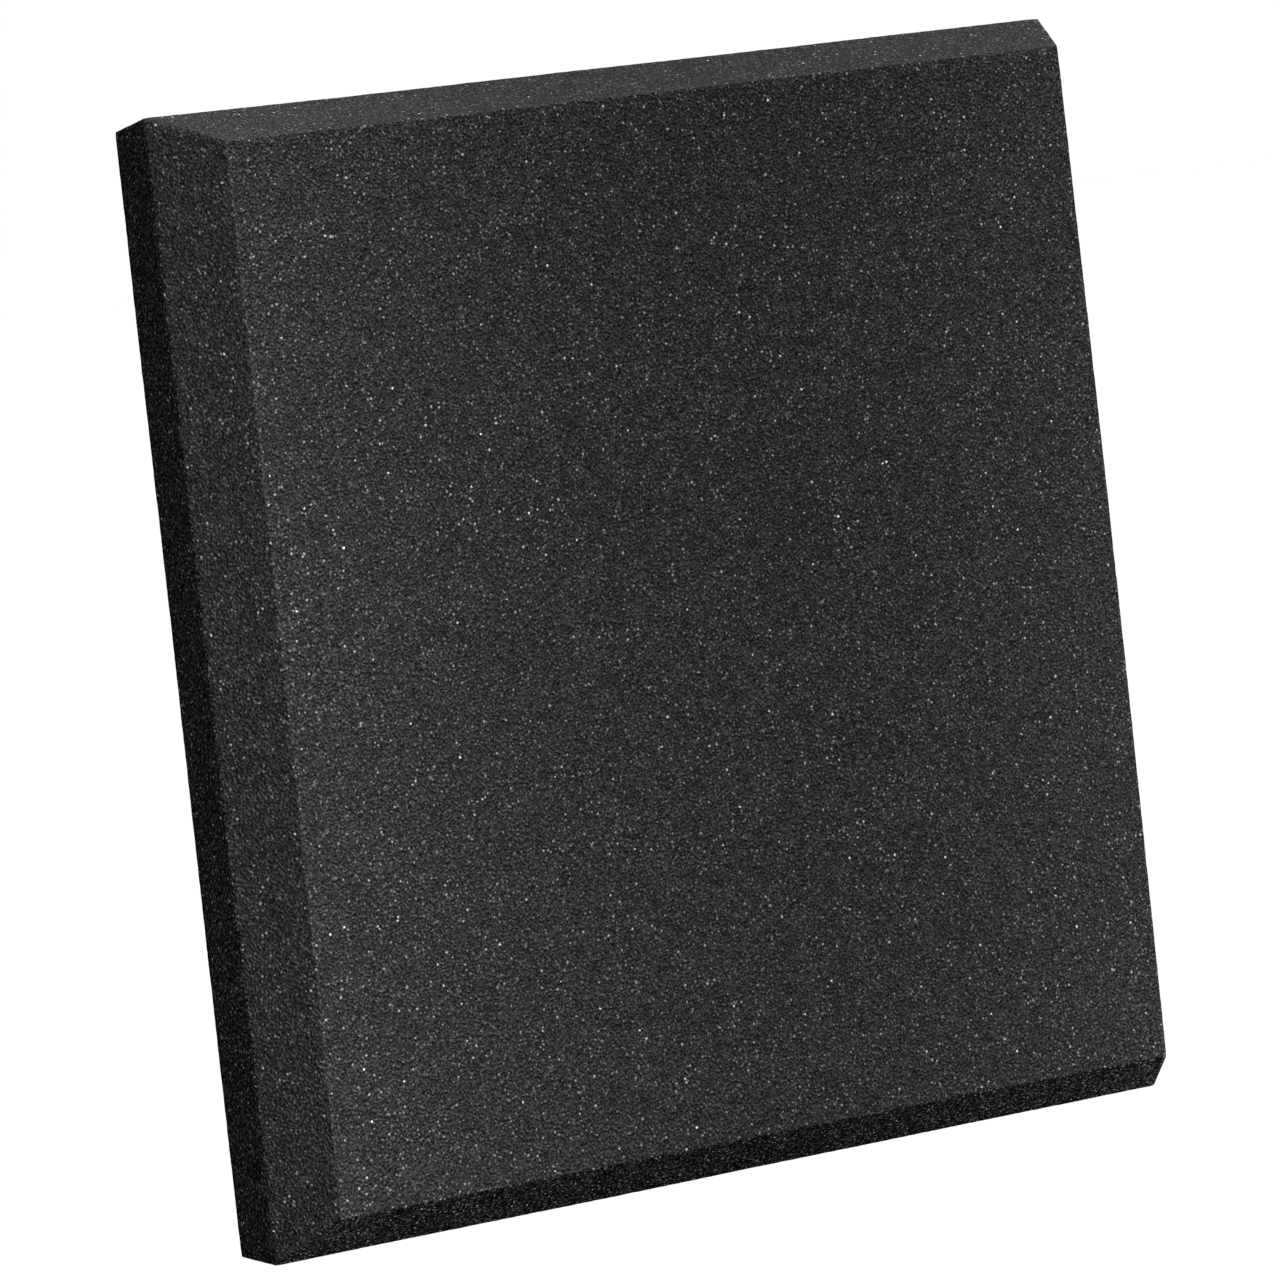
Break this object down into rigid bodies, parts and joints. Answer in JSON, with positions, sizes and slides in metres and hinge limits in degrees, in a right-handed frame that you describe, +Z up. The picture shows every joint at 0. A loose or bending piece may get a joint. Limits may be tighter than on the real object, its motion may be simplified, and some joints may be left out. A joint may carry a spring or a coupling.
{
  "type": "acoustic foam panel",
  "caption": "Square wall panel of charcoal open-cell acoustic foam, with a flat front face, a long mitred bevel round its edges, straight-cut sides and a flat back.",
  "frame": {"origin": "centre of the flat back face, which is glued to the wall", "axes": "+Z up the wall, +Y out of the back into the wall, so the front face looks along -Y into the room; +X to the right for someone who looks at the front face"},
  "size_m": [0.3048, 0.038, 0.3048],
  "materials": {
    "charcoal_foam": "matte open-cell foam with fine dark pores and small glinting cell walls"
  },
  "bodies": {
    "root": {"foam_block": "charcoal_foam"}
  },
  "joints": []
}
